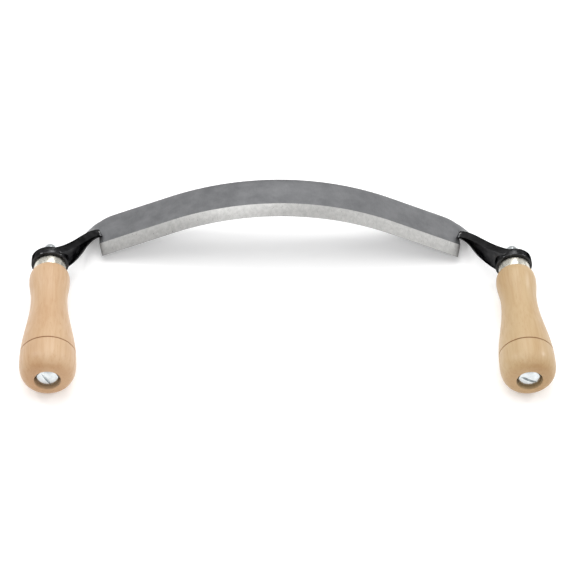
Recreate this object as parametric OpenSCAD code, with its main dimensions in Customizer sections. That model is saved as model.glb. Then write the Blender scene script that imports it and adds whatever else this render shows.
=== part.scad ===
// Drawknife: an arched blade forged in one piece with two twisted arms, and two turned
// handles bolted through an eye at the end of each arm. It stands the way it rests on a bench:
// on the bellies of the two handles and the lower back corners of the blade.
// +X runs along the blade, +Y points away from the user, +Z is up.

/* [Blade] */
// Length of the blade along its top face, between the two square end cuts
blade_length = 254; // [220:1:300]
// Width of the blade, from the back edge to the cutting edge
blade_width = 33; // [28:0.5:40]
// Thickness of the blade
blade_thickness = 5; // [4:0.1:6]
// Width of the ground bevel along the cutting edge
bevel_width = 7.5; // [5:0.5:10]
// Thickness left at the cutting edge
edge_thickness = 0.2; // [0.1:0.05:0.4]
// Radius of the top face over the arched middle
arch_radius = 190; // [170:1:220]
// Angle from the middle of the arch to where the straight ends begin
arch_angle = 23; // [18:0.5:26]
// Tilt that lifts the cutting edge off the bench
blade_tilt = 7.5; // [6:0.1:9]

/* [Arms] */
// Radius of the rounded back corner at each end of the blade
back_corner_radius = 20; // [16:1:24]
// Width of the arm where it leaves the blade
arm_root_width = 13; // [12:0.5:14]
// Width of the arm half way along
arm_middle_width = 13.5; // [12:0.5:16]
// Width of the arm where it meets the eye
arm_eye_width = 17; // [14:0.5:18]
// Thickness of the arm at the eye, and of the eye itself
eye_thickness = 6; // [5:0.1:7]
// Outer radius of the eye
eye_radius = 12.2; // [11:0.1:13]
// Radius of the bolt hole in the eye
eye_hole_radius = 3.3; // [3.1:0.05:3.6]

/* [Handles] */
// Distance between the axes of the two handles
handle_spacing = 306; // [290:1:320]
// Length of wood that shows behind the ferrule
handle_length = 91.5; // [80:0.5:110]
// Radius of the wood at the ferrule
neck_radius = 10.7; // [10.5:0.1:11]
// Radius of the rounded shoulder behind the ferrule
shoulder_radius = 13.2; // [12.5:0.1:14]
// Radius of the waist
waist_radius = 11.8; // [11:0.1:12.4]
// Radius of the belly
belly_radius = 18; // [16.5:0.1:19]
// Radius of the flat butt face
butt_radius = 10; // [9.5:0.1:13]
// Width and depth of the turned groove near the butt
groove_size = 0.8; // [0.4:0.1:1.2]
// Radius of the recess in the butt
recess_radius = 8.4; // [8.1:0.1:8.8]
// Depth of the recess in the butt
recess_depth = 5.8; // [5:0.1:8]

/* [Ferrules] */
// Length of each ferrule
ferrule_length = 7; // [5:0.5:10]
// Outer radius of each ferrule
ferrule_radius = 10.4; // [10:0.1:10.5]
// Wall thickness of each ferrule
ferrule_wall = 1; // [0.8:0.1:1.5]

/* [Fasteners] */
// Nominal radius of the bolt
bolt_radius = 3; // [2.5:0.1:3]
// Radius of the bolt head
head_radius = 6.9; // [6:0.1:7.2]
// Full height of the domed bolt head
head_height = 4.3; // [3.5:0.1:4.5]
// Width of the screwdriver slot
slot_width = 1.8; // [1.2:0.1:2]
// Depth of the screwdriver slot
slot_depth = 1.4; // [1.2:0.1:2.2]
// Outer radius of the washer
washer_radius = 8; // [7.5:0.1:8]
// Thickness of the washer
washer_thickness = 1.2; // [1:0.1:1.6]
// Distance across the flats of the cap nut
nut_across_flats = 10; // [10:0.5:13]
// Height of the hexagon of the cap nut
nut_hex_height = 5; // [4:0.5:6]
// Radius of the dome of the cap nut
nut_dome_radius = 4.7; // [4:0.1:4.8]
// Full height of the cap nut
nut_height = 12; // [11:0.5:13]

/* [Hidden] */
fine = 96;

// How each screwdriver slot came to rest.
left_slot_angle = 120;
right_slot_angle = -25;

// Blade frame: X along the blade, -Y towards the cutting edge, Z = 0 on the crown of the top face.
arch_length = arch_radius * arch_angle * PI / 180;
tail_length = blade_length / 2 - arch_length;
tail_start_x = arch_radius * sin(arch_angle);
tail_start_z = -arch_radius * (1 - cos(arch_angle));
blade_end_z = tail_start_z - tail_length * sin(arch_angle) - blade_thickness * cos(arch_angle);

// Handle frame: along an axis from the middle of the eye back towards the user.
wood_start = eye_thickness / 2 + ferrule_length;
handle_end = wood_start + handle_length;
recess_floor = handle_end - recess_depth;
head_seat = recess_floor + washer_thickness;
bolt_hole_radius = 3.3;
washer_hole_radius = 3.2;
tenon_clearance = 0.5;

// Where both sit on the bench. The eye lies this far in front of the blade's back edge.
eye_to_back_edge = 56.25;
total_depth = eye_to_back_edge + handle_end;
blade_y = total_depth / 2;
eye_y = blade_y - eye_to_back_edge;
blade_z = -blade_end_z * cos(blade_tilt);
eye_x = handle_spacing / 2;
eye_z = belly_radius;

// Turned profile of the handle, as distances from the ferrule.
shoulder_at = 7.5;
waist_at = 23.5;
belly_at = 76;
belly_flat = 3;
butt_roundness = 0.9;
groove_at = 70;
neck_steps = 8;
swell_steps = 20;

// The arm: its middle line is a cubic curve from inside the blade to inside the eye.
arm_setback = 2;
arm_root_from_back = 9.4;
arm_leaves = [9, -4, 1];
arm_reaches = [-20, 8.5, -1.5];
arm_ends = [-4, 0, 1.5];
arm_turn = 1.6;
arm_rings = 28;
arm_chamfer = 0.7;
arm_root_thickness = 4.2;
seam_overlap = 0.02;
notch_radius = 4.5;
notch_from_back = 16.3;
notch_reach = 3;
back_corner_start = 10;

function to_bench(p) = [
    p.x,
    p.y * cos(blade_tilt) + p.z * sin(blade_tilt) + blade_y,
    -p.y * sin(blade_tilt) + p.z * cos(blade_tilt) + blade_z
];

// A point of the straight right end: along the blade, in from the back edge, up from the top face.
function tail_point(along, inward, up) = to_bench([
    tail_start_x + along * cos(arch_angle) + up * sin(arch_angle),
    -inward,
    tail_start_z - along * sin(arch_angle) + up * cos(arch_angle)
]);

function unit(v) = v / norm(v);

arm_0 = tail_point(tail_length - arm_setback, arm_root_from_back, -blade_thickness / 2);
arm_3 = [eye_x, eye_y, eye_z] + arm_ends;
arm_1 = arm_0 + arm_leaves;
arm_2 = arm_3 + arm_reaches;

function arm_middle(t) =
    pow(1 - t, 3) * arm_0
    + 3 * pow(1 - t, 2) * t * arm_1
    + 3 * (1 - t) * t * t * arm_2
    + pow(t, 3) * arm_3;

function arm_direction(t) = unit(
    pow(1 - t, 2) * (arm_1 - arm_0) + 2 * (1 - t) * t * (arm_2 - arm_1) + t * t * (arm_3 - arm_2)
);

// Across the arm, from its back edge to its front edge. It lies in the blade's face at the root
// and stands upright at the eye.
function arm_across(t) =
    let (
        turned = blade_tilt + (90 - blade_tilt) * (1 - pow(1 - t, arm_turn)),
        flat = [0, -cos(turned), sin(turned)],
        along = arm_direction(t)
    )
    unit(flat - (flat * along) * along);

function arm_width(t) =
    pow(1 - t, 2) * arm_root_width
    + 2 * t * (1 - t) * (2 * arm_middle_width - (arm_root_width + arm_eye_width) / 2)
    + t * t * arm_eye_width;

function arm_thickness(t) = arm_root_thickness + (eye_thickness - arm_root_thickness) * t;

// One ring of the arm: a flat bar's section with its four corners eased.
function arm_ring(t) =
    let (
        across = arm_across(t),
        through = cross(across, arm_direction(t)),
        w = arm_width(t) / 2,
        h = arm_thickness(t) / 2,
        c = arm_chamfer,
        front = [[w - c, h], [w, h - c], [w, c - h], [w - c, -h]],
        back = [[c - w, -h], [-w, c - h], [-w, h - c], [c - w, h]]
    )
    [for (q = concat(front, back)) arm_middle(t) + q.x * across + q.y * through];

module on_both_sides() {
    children();
    mirror([1, 0, 0]) children();
}

// Moves a shape that runs along +Z onto a handle's axis. The side is -1 for left and 1 for right.
module on_handle_axis(side) {
    translate([side * eye_x, eye_y, eye_z])
        rotate([90, 0, 0])
            children();
}

module blade_section() {
    polygon([
        [arch_radius - blade_thickness, 0],
        [arch_radius, 0],
        [arch_radius, blade_width - bevel_width],
        [arch_radius - blade_thickness + edge_thickness, blade_width],
        [arch_radius - blade_thickness, blade_width]
    ]);
}

module arched_middle() {
    translate([0, 0, -arch_radius])
        rotate([90, 0, 0])
            rotate([0, 0, 90 - arch_angle])
                rotate_extrude(angle = 2 * arch_angle, $fn = 180)
                    blade_section();
}

// Points of an arc about a centre, from one angle to another.
function arc_points(centre, radius, from, to, steps) =
    [for (i = [0:steps]) let (a = from + (to - from) * i / steps) centre + radius * [cos(a), sin(a)]];

// Outline of the straight end seen from above, with the rounded back corner and the notch fillet.
module tail_outline() {
    corner_centre = [tail_length - back_corner_start, -back_corner_radius];
    notch_centre = [tail_length + notch_radius, -notch_from_back];
    polygon(concat(
        [[-seam_overlap, -blade_width], [-seam_overlap, 0]],
        arc_points(corner_centre, back_corner_radius, 90, 60, 5),
        [[tail_length, -arm_root_from_back], [tail_length + notch_reach, -arm_root_from_back]],
        arc_points(notch_centre, notch_radius, 110, 180, 5),
        [[tail_length, -blade_width]]
    ));
}

module bevel_cut() {
    translate([-seam_overlap, 0, 0])
        rotate([90, 0, 90])
            linear_extrude(height = tail_length + 2)
                polygon([
                    [-blade_width + bevel_width, 0],
                    [-blade_width, edge_thickness - blade_thickness],
                    [-blade_width - 1, edge_thickness - blade_thickness],
                    [-blade_width - 1, 1],
                    [-blade_width + bevel_width, 1]
                ]);
}

module straight_end() {
    translate([tail_start_x, 0, tail_start_z])
        rotate([0, arch_angle, 0])
            difference() {
                translate([0, 0, -blade_thickness])
                    linear_extrude(height = blade_thickness)
                        tail_outline();
                bevel_cut();
            }
}

// The right arm, as one twisted bar.
module arm() {
    sides = 8;
    rings = [for (i = [0:arm_rings]) arm_ring(i / arm_rings)];
    walls = [for (i = [0:arm_rings - 1], j = [0:sides - 1])
        each [
            [i * sides + j, (i + 1) * sides + (j + 1) % sides, i * sides + (j + 1) % sides],
            [i * sides + j, (i + 1) * sides + j, (i + 1) * sides + (j + 1) % sides]
        ]];
    last = arm_rings * sides;
    root_cap = [for (j = [1:sides - 2]) [0, j, j + 1]];
    eye_cap = [for (j = [1:sides - 2]) [last, last + j + 1, last + j]];
    polyhedron(
        points = [for (ring = rings, p = ring) p],
        faces = concat(walls, root_cap, eye_cap),
        convexity = 4
    );
}

module eye_disc() {
    on_handle_axis(1)
        translate([0, 0, -eye_thickness / 2])
            cylinder(r = eye_radius, h = eye_thickness, $fn = fine);
}

module eye_hole() {
    on_handle_axis(1)
        translate([0, 0, -eye_thickness])
            cylinder(r = eye_hole_radius, h = 2 * eye_thickness, $fn = fine);
}

module blade() {
    color("dimgray")
        union() {
            translate([0, blade_y, blade_z])
                rotate([-blade_tilt, 0, 0]) {
                    arched_middle();
                    on_both_sides() straight_end();
                }
            on_both_sides()
                difference() {
                    union() {
                        arm();
                        eye_disc();
                    }
                    eye_hole();
                }
        }
}

// A cup that closes the front of the handle, with the bolt hole through its face.
module ferrule(side) {
    color("silver")
        on_handle_axis(side)
            translate([0, 0, eye_thickness / 2])
                difference() {
                    cylinder(r = ferrule_radius, h = ferrule_length, $fn = fine);
                    translate([0, 0, ferrule_wall])
                        cylinder(r = ferrule_radius - ferrule_wall, h = ferrule_length, $fn = fine);
                    translate([0, 0, -1])
                        cylinder(r = bolt_hole_radius, h = ferrule_wall + 2, $fn = fine);
                }
}

// A smooth step from one value to another.
function eased(from, to, share) = from + (to - from) * (1 - cos(180 * share)) / 2;

// Radius of the wood between the shoulder and the waist, at a distance from the ferrule.
function neck_curve(at) =
    eased(shoulder_radius, waist_radius, (at - shoulder_at) / (waist_at - shoulder_at));

// Radius between the waist and the belly.
function swell(at) = eased(waist_radius, belly_radius, (at - waist_at) / (belly_at - waist_at));

// Half outline of the wood: radius, distance from the ferrule.
function handle_outline() =
    let (
        shoulder_rise = shoulder_radius - neck_radius,
        neck_length = waist_at - shoulder_at,
        swell_length = groove_at - groove_size - waist_at,
        butt_drop = belly_radius - butt_radius,
        butt_start = belly_at + belly_flat,
        butt_length = handle_length - butt_start
    )
    concat(
        [[0, 0], [neck_radius, 0]],
        [for (a = [15:15:90]) [neck_radius + shoulder_rise * sin(a), shoulder_at * (1 - cos(a))]],
        [for (i = [1:neck_steps])
            let (at = shoulder_at + neck_length * i / neck_steps) [neck_curve(at), at]],
        [for (i = [1:swell_steps])
            let (at = waist_at + swell_length * i / swell_steps) [swell(at), at]],
        [[swell(groove_at) - groove_size, groove_at]],
        [[swell(groove_at + groove_size), groove_at + groove_size]],
        [for (at = [groove_at + 2:2:belly_at]) [swell(at), at]],
        [[belly_radius, butt_start]],
        [for (a = [10:10:90]) [
            butt_radius + butt_drop * pow(cos(a), butt_roundness),
            butt_start + butt_length * pow(sin(a), butt_roundness)
        ]],
        [[0, handle_length]]
    );

// The turned wood, with a tenon inside the ferrule, the bolt's bore and the recess in the butt.
module handle(side) {
    tenon_radius = ferrule_radius - ferrule_wall;
    tenon_length = ferrule_length - ferrule_wall - tenon_clearance;
    color("burlywood")
        on_handle_axis(side)
            difference() {
                union() {
                    translate([0, 0, wood_start])
                        rotate_extrude($fn = fine)
                            polygon(handle_outline());
                    translate([0, 0, wood_start - tenon_length])
                        cylinder(r = tenon_radius, h = tenon_length + 1, $fn = fine);
                }
                translate([0, 0, recess_floor])
                    cylinder(r = recess_radius, h = recess_depth + 1, $fn = fine);
                cylinder(r = bolt_hole_radius, h = handle_end, $fn = fine);
            }
}

// A plain washer at the bottom of the recess.
module washer(side) {
    color("silver")
        on_handle_axis(side)
            translate([0, 0, recess_floor])
                difference() {
                    cylinder(r = washer_radius, h = washer_thickness, $fn = fine);
                    translate([0, 0, -1])
                        cylinder(r = washer_hole_radius, h = washer_thickness + 2, $fn = fine);
                }
}

// The bolt's head: a short cylinder under a shallow dome.
module bolt_head() {
    rim_height = 2.6;
    dome_height = head_height - rim_height;
    dome_radius = (head_radius * head_radius + dome_height * dome_height) / (2 * dome_height);
    intersection() {
        cylinder(r = head_radius, h = head_height, $fn = fine);
        translate([0, 0, head_height - dome_radius])
            sphere(r = dome_radius, $fn = fine);
    }
}

// A bolt that runs from the recess in the butt, through the handle and the eye, to the cap nut.
module bolt(side, slot_angle) {
    tip = -eye_thickness / 2 - nut_hex_height - 1;
    color("gainsboro")
        on_handle_axis(side)
            difference() {
                union() {
                    translate([0, 0, tip])
                        cylinder(r = bolt_radius, h = head_seat - tip, $fn = fine);
                    translate([0, 0, head_seat])
                        bolt_head();
                }
                translate([0, 0, head_seat + head_height])
                    rotate([0, 0, slot_angle])
                        cube([3 * head_radius, slot_width, 2 * slot_depth], center = true);
            }
}

// A domed nut that closes over the end of the bolt, behind the eye.
module cap_nut(side) {
    hex_radius = nut_across_flats / sqrt(3);
    bolt_reach = nut_hex_height + 1.5;
    color("silver")
        on_handle_axis(side)
            translate([0, 0, -eye_thickness / 2])
                mirror([0, 0, 1])
                    difference() {
                        union() {
                            cylinder(r = hex_radius, h = nut_hex_height, $fn = 6);
                            cylinder(r = nut_dome_radius, h = nut_height - nut_dome_radius, $fn = fine);
                            translate([0, 0, nut_height - nut_dome_radius])
                                sphere(r = nut_dome_radius, $fn = fine);
                        }
                        translate([0, 0, -1])
                            cylinder(r = bolt_radius, h = bolt_reach + 1, $fn = fine);
                    }
}

blade();
ferrule(-1);  // left_ferrule
ferrule(1);  // right_ferrule
handle(-1);  // left_handle
handle(1);  // right_handle
washer(-1);  // left_washer
washer(1);  // right_washer
bolt(-1, left_slot_angle);  // left_bolt
bolt(1, right_slot_angle);  // right_bolt
cap_nut(-1);  // left_cap_nut
cap_nut(1);  // right_cap_nut
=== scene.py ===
from math import asin, cos, pi, radians, sin, sqrt

import bmesh
import bpy
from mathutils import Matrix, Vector


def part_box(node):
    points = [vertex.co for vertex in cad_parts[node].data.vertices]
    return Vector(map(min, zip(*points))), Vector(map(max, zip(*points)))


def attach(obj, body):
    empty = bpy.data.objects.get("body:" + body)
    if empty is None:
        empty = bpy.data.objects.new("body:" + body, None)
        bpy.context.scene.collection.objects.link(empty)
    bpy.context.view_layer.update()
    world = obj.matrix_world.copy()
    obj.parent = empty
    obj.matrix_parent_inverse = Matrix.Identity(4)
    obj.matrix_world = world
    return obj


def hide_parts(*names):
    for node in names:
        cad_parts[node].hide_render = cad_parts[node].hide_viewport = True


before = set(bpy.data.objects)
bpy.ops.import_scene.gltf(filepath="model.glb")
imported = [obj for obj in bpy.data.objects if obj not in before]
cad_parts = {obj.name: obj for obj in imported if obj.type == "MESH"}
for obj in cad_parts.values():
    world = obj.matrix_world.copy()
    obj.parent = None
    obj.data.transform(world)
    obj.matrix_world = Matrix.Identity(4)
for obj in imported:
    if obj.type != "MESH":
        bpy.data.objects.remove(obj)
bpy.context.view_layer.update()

# --- Blade, arms and eyes --------------------------------------------------------------------
# One steel forging: an arched blade with a ground bevel on the side of the user, and at each end
# a flat arm that twists from lying in the blade's face to standing upright, where it ends in a
# round eye. The blade's faces are bare steel, and the arms and eyes black enamel.

MM = 0.001
BLADE_HALF = 127.0
BLADE_WIDTH = 33.0
BLADE_THICK = 5.0
BEVEL_LINE = 25.5
EDGE_THICK = 0.2
BACK_STRIP = 4.0
ARCH_RADIUS = 190.0
ARCH_ANGLE = radians(23)
ARCH_LENGTH = ARCH_RADIUS * ARCH_ANGLE
TILT = radians(7.5)
BACK_CORNER = 20.0
BACK_CORNER_START = 117.0
TANG_FRONT = 16.3
ARM_SETBACK = 2.0
ARM_INWARD = 9.5
ARM_STRIP = 3.0
ARM_FREE = 0.24
ROOT_RINGS = 10
ROOT_PULL = 0.35
ARM_WIDTHS = (13.4, 13.5, 18.0)
ARM_THICKS = (4.7, 5.9)
ARM_TURN = 1.73
ARM_RINGS = 40
BARE_REACH = 7.5
END_FACING = 0.8
EYE_RADIUS = 12.2
EYE_THICK = 6.0
EYE_HOLE = 3.3

ferrule_low, ferrule_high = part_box("right_ferrule")
BLADE_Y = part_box("blade")[1].y / MM
BLADE_Z = 39.19
EYE = (ferrule_low + ferrule_high) / 2 / MM
EYE.y = ferrule_high.y / MM + EYE_THICK / 2


def deselect_all():
    """Leaves nothing selected, so that the next operator touches only the new piece."""
    if bpy.context.object and bpy.context.object.mode != "OBJECT":
        bpy.ops.object.mode_set(mode="OBJECT")
    bpy.ops.object.select_all(action="DESELECT")


def loft(name, rings, ring_shaped=False):
    """Extrudes one outline through a row of rings, which are lists of points in mm."""
    deselect_all()
    bpy.ops.mesh.primitive_circle_add(vertices=len(rings[0]), radius=0.01, fill_type="NOTHING")
    piece = bpy.context.object
    piece.name = name
    piece.data.name = name
    bpy.ops.object.mode_set(mode="EDIT")
    mesh = bmesh.from_edit_mesh(piece.data)
    place = mesh.verts.layers.int.new("place")
    for number, corner in enumerate(mesh.verts):
        corner[place] = number
        corner.co = Vector(rings[0][number]) * MM
    bmesh.update_edit_mesh(piece.data)
    for ring in rings[1:]:
        bpy.ops.mesh.extrude_region_move()
        mesh = bmesh.from_edit_mesh(piece.data)
        place = mesh.verts.layers.int["place"]
        for corner in mesh.verts:
            if corner.select:
                corner.co = Vector(ring[corner[place]]) * MM
        bmesh.update_edit_mesh(piece.data)
    bpy.ops.mesh.select_mode(type="EDGE")
    bpy.ops.mesh.select_all(action="DESELECT")
    bpy.ops.mesh.select_non_manifold()
    if ring_shaped:
        bpy.ops.mesh.bridge_edge_loops()
    else:
        bpy.ops.mesh.select_all(action="SELECT")
        bpy.ops.mesh.fill_holes(sides=0)
    bpy.ops.mesh.select_mode(type="VERT")
    bpy.ops.mesh.select_all(action="SELECT")
    bpy.ops.mesh.remove_doubles(threshold=0.002 * MM)
    bpy.ops.mesh.normals_make_consistent(inside=False)
    bpy.ops.object.mode_set(mode="OBJECT")
    return piece


def apply_modifier(piece, kind, **settings):
    """Adds a modifier with these settings and applies it."""
    bpy.context.view_layer.objects.active = piece
    modifier = piece.modifiers.new(kind.lower(), kind)
    for key, value in settings.items():
        setattr(modifier, key, value)
    bpy.ops.object.modifier_apply(modifier=modifier.name)


def smooth(piece, angle=35):
    """Shades a piece smooth, with edges sharper than the angle kept crisp."""
    deselect_all()
    piece.select_set(True)
    bpy.context.view_layer.objects.active = piece
    bpy.ops.object.shade_smooth_by_angle(angle=radians(angle))
    piece.select_set(False)


def new_group(name, inputs, outputs):
    """A shader node group with named sockets: pairs of name and default, or name and kind."""
    group = bpy.data.node_groups.new(name, "ShaderNodeTree")
    for label, default in inputs:
        kind = "NodeSocketVector" if default is None else "NodeSocketFloat"
        socket = group.interface.new_socket(name=label, in_out="INPUT", socket_type=kind)
        if default is not None:
            socket.default_value = default
    for label, kind in outputs:
        group.interface.new_socket(name=label, in_out="OUTPUT", socket_type=kind)
    return group, group.nodes.new("NodeGroupInput"), group.nodes.new("NodeGroupOutput")


def wear_group():
    """Soft cloudy blotches and fine scratches on metal, each from 0 to 1."""
    group, given, made = new_group(
        "metal_wear",
        [("Vector", None), ("Blotch Scale", 120.0), ("Scratch Scale", 900.0), ("Stretch", 20.0)],
        [("Blotch", "NodeSocketFloat"), ("Scratch", "NodeSocketFloat")],
    )
    link = group.links.new
    blotch = group.nodes.new("ShaderNodeTexNoise")
    blotch.inputs["Detail"].default_value = 5
    blotch.inputs["Roughness"].default_value = 0.62
    link(given.outputs["Vector"], blotch.inputs["Vector"])
    link(given.outputs["Blotch Scale"], blotch.inputs["Scale"])
    stretch = group.nodes.new("ShaderNodeVectorMath")
    stretch.operation = "MULTIPLY"
    factors = group.nodes.new("ShaderNodeCombineXYZ")
    factors.inputs["Y"].default_value = 1
    factors.inputs["Z"].default_value = 1
    link(given.outputs["Stretch"], factors.inputs["X"])
    link(given.outputs["Vector"], stretch.inputs[0])
    link(factors.outputs[0], stretch.inputs[1])
    scratch = group.nodes.new("ShaderNodeTexNoise")
    scratch.inputs["Detail"].default_value = 3
    link(stretch.outputs[0], scratch.inputs["Vector"])
    link(given.outputs["Scratch Scale"], scratch.inputs["Scale"])
    link(blotch.outputs["Fac"], made.inputs["Blotch"])
    link(scratch.outputs["Fac"], made.inputs["Scratch"])
    return group


METAL_WEAR = wear_group()


def new_material(name):
    """A material with its shader, and an object-coordinate socket for its patterns."""
    material = bpy.data.materials.new(name)
    material.use_nodes = True
    nodes = material.node_tree.nodes
    shader = nodes["Principled BSDF"]
    coords = nodes.new("ShaderNodeTexCoord").outputs["Object"]
    return material, nodes, material.node_tree.links.new, shader, coords


def ramp(nodes, stops):
    """A colour ramp node through these positions and colours."""
    node = nodes.new("ShaderNodeValToRGB")
    while len(node.color_ramp.elements) < len(stops):
        node.color_ramp.elements.new(0.5)
    for element, (position, colour) in zip(node.color_ramp.elements, stops):
        element.position = position
        element.color = (*colour, 1)
    return node


def metal(name, dark, light, roughness, metallic, wear, bump=0.02, edge=1.0):
    """A metal whose colour wanders between two shades, with scratches in its gloss."""
    material, nodes, link, shader, coords = new_material(name)
    worn = nodes.new("ShaderNodeGroup")
    worn.node_tree = METAL_WEAR
    for label, value in wear.items():
        worn.inputs[label].default_value = value
    link(coords, worn.inputs["Vector"])
    shade = ramp(nodes, [(0.32, dark), (0.68, light)])
    link(worn.outputs["Blotch"], shade.inputs["Fac"])
    link(shade.outputs["Color"], shader.inputs["Base Color"])
    gloss = nodes.new("ShaderNodeMapRange")
    gloss.inputs["From Min"].default_value = 0.3
    gloss.inputs["From Max"].default_value = 0.7
    gloss.inputs["To Min"].default_value = roughness[0]
    gloss.inputs["To Max"].default_value = roughness[1]
    link(worn.outputs["Scratch"], gloss.inputs["Value"])
    link(gloss.outputs["Result"], shader.inputs["Roughness"])
    relief = nodes.new("ShaderNodeBump")
    relief.inputs["Strength"].default_value = 0.35
    relief.inputs["Distance"].default_value = bump * MM
    link(worn.outputs["Scratch"], relief.inputs["Height"])
    link(relief.outputs["Normal"], shader.inputs["Normal"])
    shader.inputs["Metallic"].default_value = metallic
    shader.inputs["Specular Tint"].default_value = (edge, edge, edge, 1)
    return material


bare_steel = metal(
    "bare_steel",
    dark=(0.16, 0.163, 0.17),
    light=(0.225, 0.228, 0.235),
    roughness=(0.34, 0.5),
    metallic=0.75,
    wear={"Blotch Scale": 95.0, "Scratch Scale": 260.0, "Stretch": 6.0},
)
ground_steel = metal(
    "ground_steel",
    dark=(0.37, 0.368, 0.36),
    light=(0.47, 0.466, 0.455),
    roughness=(0.26, 0.46),
    metallic=0.8,
    wear={"Blotch Scale": 420.0, "Scratch Scale": 420.0, "Stretch": 9.0},
)
enamel = metal(
    "black_enamel",
    dark=(0.026, 0.026, 0.027),
    light=(0.055, 0.055, 0.056),
    roughness=(0.12, 0.24),
    metallic=1.0,
    wear={"Blotch Scale": 220.0, "Scratch Scale": 420.0, "Stretch": 1.0},
    bump=0.5,
    edge=0.3,
)


def on_bench(x, y, z):
    """A point of the blade's own frame, tilted as it rests on the bench."""
    return Vector((x, y * cos(TILT) + z * sin(TILT) + BLADE_Y, -y * sin(TILT) + z * cos(TILT) + BLADE_Z))


def blade_point(along, inward, up):
    """A point of the blade: along its arch, in from the back edge, up from the top face."""
    side = 1 if along >= 0 else -1
    along = abs(along)
    angle = min(along, ARCH_LENGTH) / ARCH_RADIUS
    past = max(0, along - ARCH_LENGTH)
    x = (ARCH_RADIUS + up) * sin(angle) + past * cos(angle)
    z = (ARCH_RADIUS + up) * cos(angle) - ARCH_RADIUS - past * sin(angle)
    return on_bench(side * x, -inward, z)


def back_edge(along):
    """Distance of the back edge from its line, where the corner is rounded."""
    past = max(0, abs(along) - BACK_CORNER_START)
    return BACK_CORNER - sqrt(BACK_CORNER**2 - past**2)


def blade_ring(along):
    """The blade's section, with its bevel."""
    back = back_edge(along)
    section = [
        (back, -BLADE_THICK),
        (back, 0),
        (back + BACK_STRIP, 0),
        (TANG_FRONT, 0),
        (BEVEL_LINE, 0),
        (BLADE_WIDTH, EDGE_THICK - BLADE_THICK),
        (BLADE_WIDTH, -BLADE_THICK),
        (TANG_FRONT, -BLADE_THICK),
        (back + BACK_STRIP, -BLADE_THICK),
    ]
    return [blade_point(along, w, up) for w, up in section]


ARM_START = blade_point(BLADE_HALF - ARM_SETBACK, ARM_INWARD, -BLADE_THICK / 2)
ARM_END = EYE + Vector((-4, 0, 1.9))
ARM_LEAVES = ARM_START + Vector((10.2, -5.4, 1.25))
ARM_REACHES = ARM_END + Vector((-14.6, 9.1, -3.4))


def arm_ring(t):
    """The arm's section, from inside the blade at 0 to inside the eye at 1, on the right side."""
    a, b, c, d = ARM_START, ARM_LEAVES, ARM_REACHES, ARM_END
    middle = (1 - t) ** 3 * a + 3 * (1 - t) ** 2 * t * b + 3 * (1 - t) * t * t * c + t**3 * d
    forward = ((1 - t) ** 2 * (b - a) + 2 * (1 - t) * t * (c - b) + t * t * (d - c)).normalized()
    turned = TILT + (pi / 2 - TILT) * (1 - (1 - t) ** ARM_TURN)
    across = Vector((0, -cos(turned), sin(turned)))
    across = (across - across.dot(forward) * forward).normalized()
    through = across.cross(forward)
    root, centre, eye = ARM_WIDTHS
    half = ((1 - t) ** 2 * root + 2 * t * (1 - t) * (2 * centre - (root + eye) / 2) + t * t * eye) / 2
    thick = (ARM_THICKS[0] + (ARM_THICKS[1] - ARM_THICKS[0]) * t) / 2
    section = [
        (-half, -thick),
        (-half, thick),
        (-half + ARM_STRIP, thick),
        (half, thick),
        (half, 0.4 * thick),
        (half, 0),
        (half, -0.4 * thick),
        (half, -thick),
        (-half + ARM_STRIP, -thick),
    ]
    return [middle + u * across + v * through for u, v in section]


def root_ring(share):
    """The section between the square end cut at 0 and the free arm at 1, point by point."""
    back = back_edge(BLADE_HALF)
    section = [
        (back, -BLADE_THICK),
        (back, 0),
        (back + BACK_STRIP, 0),
        (TANG_FRONT, 0),
        (TANG_FRONT, -0.3 * BLADE_THICK),
        (TANG_FRONT, -0.5 * BLADE_THICK),
        (TANG_FRONT, -0.7 * BLADE_THICK),
        (TANG_FRONT, -BLADE_THICK),
        (back + BACK_STRIP, -BLADE_THICK),
    ]
    leaves = blade_point(BLADE_HALF + 1, 0, 0) - blade_point(BLADE_HALF, 0, 0)
    points = []
    for (inward, up), end, ahead in zip(section, arm_ring(ARM_FREE), arm_ring(ARM_FREE + 0.01)):
        start = blade_point(BLADE_HALF, inward, up)
        reach = (end - start).length
        arrives = (ahead - end).normalized()
        points.append(
            (2 * share**3 - 3 * share**2 + 1) * start
            + (share**3 - 2 * share**2 + share) * ROOT_PULL * reach * leaves
            + (3 * share**2 - 2 * share**3) * end
            + (share**3 - share**2) * reach * arrives
        )
    return points


def mirrored(ring):
    """The same ring on the left side."""
    return [Vector((-p.x, p.y, p.z)) for p in ring]


tail_steps = [ARCH_LENGTH + (BACK_CORNER_START - ARCH_LENGTH) * i / 6 for i in range(7)]
corner_steps = [BACK_CORNER_START + (BLADE_HALF - BACK_CORNER_START) * i / 6 for i in range(1, 7)]
arch_steps = [ARCH_LENGTH * i / 24 for i in range(24)]
half_rings = [blade_ring(s) for s in arch_steps + tail_steps + corner_steps]
half_rings += [root_ring(i / ROOT_RINGS) for i in range(ROOT_RINGS)]
half_rings += [arm_ring(ARM_FREE + (1 - ARM_FREE) * i / ARM_RINGS) for i in range(ARM_RINGS + 1)]
blade = loft("blade_steel", [mirrored(r) for r in reversed(half_rings[1:])] + half_rings)


def turned_ring(radius, along, count=96):
    """A ring of points round a handle's axis, at a distance back from the middle of the eye."""
    return [
        Vector((EYE.x + radius * cos(a), EYE.y - along, EYE.z + radius * sin(a)))
        for a in (2 * pi * i / count for i in range(count))
    ]


def turned(name, profile, count=96, side=1, ring_shaped=True):
    """A piece turned on the lathe: the profile is pairs of radius and distance."""
    rings = [turned_ring(r, s, count) for r, s in profile]
    if side < 0:
        rings = [mirrored(ring) for ring in rings]
    return loft(name, rings, ring_shaped)


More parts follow.
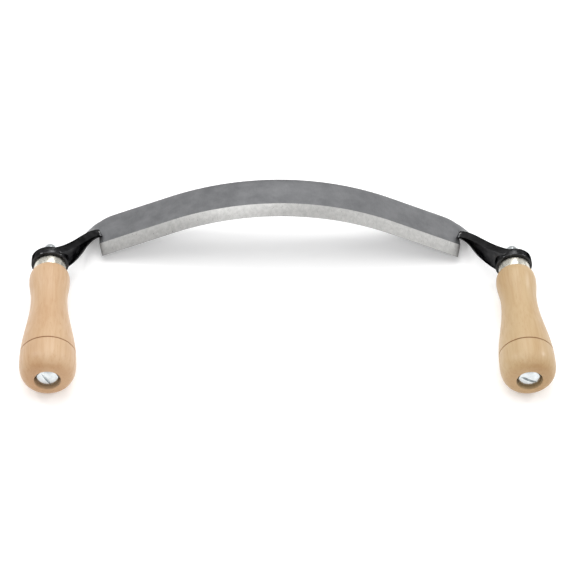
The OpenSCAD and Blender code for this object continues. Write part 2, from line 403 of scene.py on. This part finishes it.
def rounded(corner, before, after, size, steps=4):
    """Points that round a corner of a profile by a quadratic curve."""
    corner, before, after = Vector(corner), Vector(before), Vector(after)
    start = corner + (before - corner).normalized() * size
    end = corner + (after - corner).normalized() * size
    return [
        tuple((1 - t) ** 2 * start + 2 * t * (1 - t) * corner + t * t * end)
        for t in (i / steps for i in range(steps + 1))
    ]


def softened(corners, sizes):
    """A closed profile with each corner rounded by its own size."""
    points = []
    for i, corner in enumerate(corners):
        if sizes[i]:
            points += rounded(corner, corners[i - 1], corners[(i + 1) % len(corners)], sizes[i])
        else:
            points.append(corner)
    return points


half_eye = EYE_THICK / 2
eye_profile = softened(
    [(EYE_HOLE, -half_eye), (EYE_RADIUS, -half_eye), (EYE_RADIUS, half_eye), (EYE_HOLE, half_eye)],
    [0.4, 0.9, 0.9, 0.4],
)
STEELS = (bare_steel, ground_steel, enamel)
BARE, GROUND, BLACK = range(3)
BEVEL_CORNERS = {4, 5}
TOP_CORNERS = {1, 2, 3}


def coat(piece, index):
    """Gives a piece the three finishes of the forging, with one of them all over."""
    for material in STEELS:
        piece.data.materials.append(material)
    for face in piece.data.polygons:
        face.material_index = index


coat(blade, BARE)
end_x = blade_point(BLADE_HALF, 0, 0).x
place = blade.data.attributes["place"].data
for face in blade.data.polygons:
    corners = {place[number].value for number in face.vertices}
    out = abs(face.center.x) / MM - end_x
    if abs(face.normal.x) > END_FACING and out < 0:
        face.material_index = BLACK
    elif out < 0:
        face.material_index = GROUND if corners == BEVEL_CORNERS else BARE
    else:
        face.material_index = BARE if corners <= TOP_CORNERS and out < BARE_REACH else BLACK
apply_modifier(blade, "BEVEL", width=0.4 * MM, segments=2, limit_method="ANGLE", angle_limit=radians(40))
for side in (-1, 1):
    eye = turned("eye", eye_profile, 80, side)
    coat(eye, BLACK)
    apply_modifier(blade, "BOOLEAN", object=eye, operation="UNION", solver="EXACT")
    bpy.data.objects.remove(eye)
smooth(blade, 30)
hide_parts("blade")
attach(blade, "root")

# --- Ferrules --------------------------------------------------------------------------------
# Short collars of bright plated steel, pressed over the front end of each handle. Each is a
# shallow cup with the bolt hole through its face, and its rims are rolled over a little.

FERRULE_FRONT = EYE_THICK / 2
FERRULE_LENGTH = 7.0
FERRULE_RADIUS = 10.4
FERRULE_WALL = 1.0
BOLT_HOLE = 3.3

plated_steel = metal(
    "plated_steel",
    dark=(0.55, 0.53, 0.47),
    light=(0.68, 0.655, 0.58),
    roughness=(0.2, 0.34),
    metallic=1.0,
    wear={"Blotch Scale": 200.0, "Scratch Scale": 900.0, "Stretch": 1.0},
)
wood_start = FERRULE_FRONT + FERRULE_LENGTH
inner = FERRULE_RADIUS - FERRULE_WALL
ferrule_profile = softened(
    [
        (BOLT_HOLE, FERRULE_FRONT),
        (FERRULE_RADIUS, FERRULE_FRONT),
        (FERRULE_RADIUS, wood_start),
        (inner, wood_start),
        (inner, FERRULE_FRONT + FERRULE_WALL),
        (BOLT_HOLE, FERRULE_FRONT + FERRULE_WALL),
    ],
    [0.1, 0.9, 0.3, 0.15, 0.1, 0.1],
)
for side, label in ((-1, "left"), (1, "right")):
    ferrule = turned(f"{label}_collar", ferrule_profile, 96, side)
    ferrule.data.materials.append(plated_steel)
    smooth(ferrule, 40)
    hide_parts(f"{label}_ferrule")
    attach(ferrule, "root")

# --- Handles ---------------------------------------------------------------------------------
# Turned from pale hardwood and lacquered: a rounded shoulder behind the ferrule, a slim waist,
# and a full belly with one fine groove, ending in a flat butt with a recess for the bolt head.

HANDLE_LENGTH = 91.5
NECK_RADIUS = 10.7
SHOULDER_RADIUS = 13.2
SHOULDER_AT = 7.5
WAIST_RADIUS = 11.8
WAIST_AT = 23.5
BELLY_RADIUS = 18.0
BELLY_AT = 76.0
BELLY_FLAT = 3.0
GROOVE_AT = 70.0
GROOVE_DEPTH = 0.6
GROOVE_HALF = 0.5
BUTT_RADIUS = 10.0
BUTT_ROUNDNESS = 0.9
RECESS_RADIUS = 8.4
RECESS_DEPTH = 5.8
TENON_LENGTH = 5.0
RIM_ROUNDING = 0.5
handle_end = wood_start + HANDLE_LENGTH
recess_floor = handle_end - RECESS_DEPTH


def eased(start, end, share):
    """A smooth step from start to end."""
    return start + (end - start) * (1 - cos(pi * share)) / 2


def handle_radius(at):
    """Radius of the wood between the shoulder and the belly, at a distance from the ferrule."""
    if at < WAIST_AT:
        return eased(SHOULDER_RADIUS, WAIST_RADIUS, (at - SHOULDER_AT) / (WAIST_AT - SHOULDER_AT))
    return eased(WAIST_RADIUS, BELLY_RADIUS, min(1, (at - WAIST_AT) / (BELLY_AT - WAIST_AT)))


def handle_profile():
    """The closed outline of the wood, from the bolt hole out, down the outside and back in."""
    tenon_start = wood_start - TENON_LENGTH
    points = [(BOLT_HOLE, tenon_start), (inner, tenon_start), (inner, wood_start)]
    points += [(NECK_RADIUS - 0.2, wood_start), (NECK_RADIUS, wood_start + 0.2)]
    for i in range(1, 11):
        a = pi / 2 * i / 10
        rise = SHOULDER_RADIUS - NECK_RADIUS
        points.append((NECK_RADIUS + rise * sin(a), wood_start + 0.2 + (SHOULDER_AT - 0.2) * (1 - cos(a))))
    for i in range(1, 31):
        at = SHOULDER_AT + (GROOVE_AT - GROOVE_HALF - SHOULDER_AT) * i / 30
        points.append((handle_radius(at), wood_start + at))
    points.append((handle_radius(GROOVE_AT) - GROOVE_DEPTH, wood_start + GROOVE_AT))
    points.append((handle_radius(GROOVE_AT), wood_start + GROOVE_AT + GROOVE_HALF))
    points += [(handle_radius(GROOVE_AT + at), wood_start + GROOVE_AT + at) for at in (2, 4, 6)]
    corner_start = BELLY_AT + BELLY_FLAT
    for i in range(15):
        a = pi / 2 * i / 14
        out = BUTT_RADIUS + (BELLY_RADIUS - BUTT_RADIUS) * cos(a) ** BUTT_ROUNDNESS
        along = corner_start + (HANDLE_LENGTH - corner_start) * sin(a) ** BUTT_ROUNDNESS
        points.append((out, wood_start + along))
    rim = (RECESS_RADIUS, handle_end)
    points += rounded(rim, (BUTT_RADIUS, handle_end), (RECESS_RADIUS, recess_floor), RIM_ROUNDING)
    points += [(RECESS_RADIUS, recess_floor), (BOLT_HOLE, recess_floor)]
    return points


def wood_group():
    """Hardwood grain that runs along Y: long streaks, short flecks and slow changes of tone."""
    group, given, made = new_group(
        "hardwood_grain",
        [("Vector", None), ("Streak Scale", 620.0), ("Fleck Scale", 1500.0), ("Tone Scale", 45.0)],
        [(label, "NodeSocketFloat") for label in ("Streak", "Fleck", "Tone")],
    )
    link = group.links.new
    for label, flatten, detail in (("Streak", 0.035, 6), ("Fleck", 0.07, 2), ("Tone", 0.22, 3)):
        squeeze = group.nodes.new("ShaderNodeMapping")
        squeeze.inputs["Scale"].default_value = (1, flatten, 1)
        noise = group.nodes.new("ShaderNodeTexNoise")
        noise.inputs["Detail"].default_value = detail
        noise.inputs["Distortion"].default_value = 0.35
        link(given.outputs["Vector"], squeeze.inputs["Vector"])
        link(squeeze.outputs["Vector"], noise.inputs["Vector"])
        link(given.outputs[f"{label} Scale"], noise.inputs["Scale"])
        link(noise.outputs["Fac"], made.inputs[label])
    return group


HARDWOOD_GRAIN = wood_group()


def mixed(nodes, link, kind, factor, first, second):
    """A colour mix node. The factor is a number or a socket; the colours are too."""
    node = nodes.new("ShaderNodeMix")
    node.data_type = "RGBA"
    node.blend_type = kind
    sockets = (node.inputs["Factor"], node.inputs[6], node.inputs[7])
    for socket, value in zip(sockets, (factor, first, second)):
        if isinstance(value, bpy.types.NodeSocket):
            link(value, socket)
        else:
            socket.default_value = (*value, 1) if isinstance(value, tuple) else value
    return node.outputs[2]


def banded(nodes, link, value, low, high):
    """Takes a value from 0 to 1 between two bounds."""
    node = nodes.new("ShaderNodeMapRange")
    node.interpolation_type = "SMOOTHSTEP"
    node.inputs["From Min"].default_value = low
    node.inputs["From Max"].default_value = high
    link(value, node.inputs["Value"])
    return node.outputs["Result"]


def handle_wood(name, pale, deep, shift):
    """Lacquered hardwood in two tones, darker on its end grain and in the recess, with painted shade in the
    groove.
    """
    material, nodes, link, shader, coords = new_material(name)
    grain = nodes.new("ShaderNodeGroup")
    grain.node_tree = HARDWOOD_GRAIN
    turn = nodes.new("ShaderNodeMapping")
    turn.inputs["Location"].default_value = shift
    link(coords, turn.inputs["Vector"])
    link(turn.outputs["Vector"], grain.inputs["Vector"])
    tone = ramp(nodes, [(0.34, deep), (0.62, pale)])
    link(grain.outputs["Tone"], tone.inputs["Fac"])
    streak = banded(nodes, link, grain.outputs["Streak"], 0.38, 0.68)
    colour = mixed(nodes, link, "MULTIPLY", streak, tone.outputs["Color"], (0.94, 0.9, 0.85))
    fleck = banded(nodes, link, grain.outputs["Fleck"], 0.6, 0.72)
    colour = mixed(nodes, link, "MULTIPLY", fleck, colour, (0.92, 0.87, 0.8))
    split = nodes.new("ShaderNodeSeparateXYZ")
    link(coords, split.inputs["Vector"])
    normal = nodes.new("ShaderNodeNewGeometry")
    facing = nodes.new("ShaderNodeSeparateXYZ")
    link(normal.outputs["Normal"], facing.inputs["Vector"])
    butt = banded(nodes, link, facing.outputs["Y"], -0.25, -1.0)
    colour = mixed(nodes, link, "MULTIPLY", butt, colour, (0.95, 0.86, 0.76))
    # Painted shade: a narrow band at the groove is darkened to stand in for the shade that falls in the
    # groove.
    distance = nodes.new("ShaderNodeMath")
    distance.operation = "SUBTRACT"
    groove_y = (EYE.y - wood_start - GROOVE_AT) * MM
    link(split.outputs["Y"], distance.inputs[0])
    distance.inputs[1].default_value = groove_y
    size = nodes.new("ShaderNodeMath")
    size.operation = "ABSOLUTE"
    link(distance.outputs[0], size.inputs[0])
    groove = banded(nodes, link, size.outputs[0], 0.55 * MM, 0.2 * MM)
    colour = mixed(nodes, link, "MULTIPLY", groove, colour, (0.62, 0.5, 0.4))
    link(colour, shader.inputs["Base Color"])
    relief = nodes.new("ShaderNodeBump")
    relief.inputs["Strength"].default_value = 0.25
    relief.inputs["Distance"].default_value = 0.05 * MM
    link(grain.outputs["Streak"], relief.inputs["Height"])
    link(relief.outputs["Normal"], shader.inputs["Normal"])
    gloss = banded(nodes, link, grain.outputs["Streak"], 0.2, 0.8)
    rough = nodes.new("ShaderNodeMapRange")
    rough.inputs["To Min"].default_value = 0.36
    rough.inputs["To Max"].default_value = 0.52
    link(gloss, rough.inputs["Value"])
    link(rough.outputs["Result"], shader.inputs["Roughness"])
    shader.inputs["Coat Weight"].default_value = 0.12
    shader.inputs["Coat Roughness"].default_value = 0.3
    return material


WOODS = {
    "left": handle_wood("left_wood", (0.53, 0.36, 0.215), (0.48, 0.305, 0.168), (0.013, 0.0, 0.02)),
    "right": handle_wood("right_wood", (0.468, 0.332, 0.18), (0.42, 0.276, 0.133), (0.04, 0.03, 0.0)),
}
for side, label in ((-1, "left"), (1, "right")):
    wood = turned(f"{label}_grip", handle_profile(), 120, side)
    wood.data.materials.append(WOODS[label])
    smooth(wood, 40)
    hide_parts(f"{label}_handle")
    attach(wood, "root")

# --- Washers, bolts and cap nuts -------------------------------------------------------------
# A slotted screw with a domed head sits on a plain washer at the bottom of each recess. Its
# shank runs through the wood, the ferrule and the eye, into a domed nut behind the eye.

WASHER_RADIUS = 8.0
WASHER_THICK = 1.2
HEAD_RADIUS = 6.9
HEAD_HEIGHT = 4.3
RIM_HEIGHT = 2.6
SLOT_WIDTH = 1.8
SLOT_DEPTH = 1.4
SLOT_ANGLES = {"left": 120, "right": -25}
BOLT_RADIUS = 3.0
NUT_FLATS = 10.0
NUT_HEX = 5.0
NUT_DOME = 4.7
NUT_HEIGHT = 12.0
NUT_EDGE = 0.7
ON_AXIS = 0.001
TIP_CHAMFER = 0.5
head_seat = recess_floor + WASHER_THICK
dome_height = HEAD_HEIGHT - RIM_HEIGHT
dome_radius = (HEAD_RADIUS**2 + dome_height**2) / (2 * dome_height)

zinc = metal(
    "zinc_plate",
    dark=(0.5, 0.53, 0.54),
    light=(0.68, 0.71, 0.72),
    roughness=(0.12, 0.24),
    metallic=1.0,
    wear={"Blotch Scale": 260.0, "Scratch Scale": 1100.0, "Stretch": 1.0},
)

washer_profile = softened(
    [
        (BOLT_RADIUS + 0.2, recess_floor),
        (WASHER_RADIUS, recess_floor),
        (WASHER_RADIUS, head_seat),
        (BOLT_RADIUS + 0.2, head_seat),
    ],
    [0.1, 0.2, 0.3, 0.2],
)


def bolt_profile():
    """From the tip of the shank to the crown of the head."""
    tip = -EYE_THICK / 2 - NUT_HEX - 1
    points = [(ON_AXIS, tip), (BOLT_RADIUS - TIP_CHAMFER, tip)]
    points += [(BOLT_RADIUS, tip + TIP_CHAMFER), (BOLT_RADIUS, head_seat)]
    points += [(HEAD_RADIUS - 0.3, head_seat), (HEAD_RADIUS, head_seat + 0.3)]
    points.append((HEAD_RADIUS, head_seat + RIM_HEIGHT - 0.2))
    edge = asin(HEAD_RADIUS / dome_radius)
    centre = head_seat + HEAD_HEIGHT - dome_radius
    for i in range(9):
        a = edge * (1 - i / 8) * 0.985
        points.append((max(ON_AXIS, dome_radius * sin(a)), centre + dome_radius * cos(a)))
    return points


def cut_slot(bolt, side, angle):
    """Cuts the screwdriver slot across the head."""
    deselect_all()
    top = EYE.y - head_seat - HEAD_HEIGHT
    bpy.ops.mesh.primitive_cube_add(size=1, location=(side * EYE.x * MM, top * MM, EYE.z * MM))
    cutter = bpy.context.object
    cutter.scale = (3 * HEAD_RADIUS * MM, 2 * SLOT_DEPTH * MM, SLOT_WIDTH * MM)
    cutter.rotation_euler = (0, -radians(angle), 0)
    bpy.ops.object.transform_apply(location=True, rotation=True, scale=True)
    apply_modifier(bolt, "BOOLEAN", object=cutter, operation="DIFFERENCE", solver="EXACT")
    bpy.data.objects.remove(cutter)
    apply_modifier(bolt, "BEVEL", width=0.12 * MM, segments=2, limit_method="ANGLE", angle_limit=radians(50))


def nut_profile():
    """The round blank of the cap nut, from the bottom of its bore over the dome."""
    seat = -EYE_THICK / 2
    points = [(BOLT_RADIUS, seat - NUT_HEX - 1.5), (BOLT_RADIUS, seat), (NUT_FLATS / 2 - 0.2, seat)]
    points += [(NUT_FLATS / sqrt(3), seat - NUT_EDGE), (NUT_FLATS / sqrt(3), seat - NUT_HEX + NUT_EDGE)]
    points.append((NUT_DOME, seat - NUT_HEX))
    for i in range(10):
        a = pi / 2 * i / 9
        points.append((max(ON_AXIS, NUT_DOME * cos(a)), seat - NUT_HEIGHT + NUT_DOME * (1 - sin(a))))
    return points


def cut_flats(nut, side):
    """Trims the blank to six flats."""
    for i in range(6):
        deselect_all()
        nut.select_set(True)
        bpy.context.view_layer.objects.active = nut
        bpy.ops.object.mode_set(mode="EDIT")
        bpy.ops.mesh.select_all(action="SELECT")
        a = radians(60 * i + 30)
        out = Vector((cos(a), 0, sin(a)))
        centre = Vector((side * EYE.x, EYE.y, EYE.z)) + out * NUT_FLATS / 2
        bpy.ops.mesh.bisect(plane_co=centre * MM, plane_no=out, use_fill=True, clear_outer=True)
        bpy.ops.object.mode_set(mode="OBJECT")


for side, label in ((-1, "left"), (1, "right")):
    washer = turned(f"{label}_plain_washer", washer_profile, 72, side)
    screw = turned(f"{label}_slotted_screw", bolt_profile(), 72, side, ring_shaped=False)
    cut_slot(screw, side, SLOT_ANGLES[label])
    nut = turned(f"{label}_domed_nut", nut_profile(), 72, side, ring_shaped=False)
    cut_flats(nut, side)
    for piece, node in ((washer, "washer"), (screw, "bolt"), (nut, "cap_nut")):
        piece.data.materials.append(zinc)
        smooth(piece, 35)
        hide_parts(f"{label}_{node}")
        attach(piece, "root")

# --- Bench, light and camera -----------------------------------------------------------------
# The tool lies on a plain pale bench under a broad soft light, seen from above the user's side.

FLOOR_HALF = 3.0
floor_material = bpy.data.materials.new("pale_bench")
floor_material.use_nodes = True
floor_shader = floor_material.node_tree.nodes["Principled BSDF"]
floor_shader.inputs["Base Color"].default_value = (0.86, 0.86, 0.86, 1)
floor_shader.inputs["Roughness"].default_value = 0.9
floor_shader.inputs["Emission Color"].default_value = (1, 1, 1, 1)
floor_shader.inputs["Emission Strength"].default_value = 0.22
floor_shader.inputs["Specular IOR Level"].default_value = 0.1
deselect_all()
bpy.ops.mesh.primitive_plane_add(size=2 * FLOOR_HALF, location=(0, 0, 0))
floor = bpy.context.object
floor.name = "bench_top"
floor.data.materials.append(floor_material)

world = bpy.data.worlds.new("studio")
bpy.context.scene.world = world
world.use_nodes = True
world.node_tree.nodes["Background"].inputs["Color"].default_value = (1, 1, 1, 1)
world.node_tree.nodes["Background"].inputs["Strength"].default_value = 0.68


def soft_light(name, place, aim, size, power):
    """A square soft box that faces a point."""
    light = bpy.data.lights.new(name, "AREA")
    light.size = size
    light.energy = power
    lamp = bpy.data.objects.new(name, light)
    bpy.context.scene.collection.objects.link(lamp)
    lamp.location = place
    lamp.rotation_euler = (Vector(aim) - Vector(place)).to_track_quat("-Z", "Y").to_euler()


soft_light("overhead_box", (-0.22, 0.28, 1.1), (0, 0, 0), 1.0, 6.0)
soft_light("right_box", (0.85, -0.05, 0.85), (0, 0, 0), 1.0, 2.0)
soft_light("back_box", (0.25, 0.93, 1.25), (0, 0, 0), 0.5, 3.0)
soft_light("key_spot", (-0.3, -1.0, 1.45), (0, 0, 0), 0.2, 2.0)
soft_light("left_spot", (-0.9, 0.38, 0.74), (0.125, 0.05, 0), 0.16, 2.5)
soft_light("right_spot", (0.98, 0.44, 0.59), (-0.125, 0.05, 0), 0.16, 2.5)
soft_light("front_box", (0.5, -1.1, 0.9), (0, 0, 0), 0.8, 1.5)

camera_data = bpy.data.cameras.new("view")
camera_data.lens = 162.4
camera_data.clip_end = 20
camera = bpy.data.objects.new("view", camera_data)
bpy.context.scene.collection.objects.link(camera)
camera.location = (-0.116, -1.1372, 1.2718)
camera.rotation_euler = (radians(42.28), radians(-3.07), radians(-2.56))
bpy.context.scene.camera = camera
bpy.context.scene.view_settings.view_transform = "Standard"
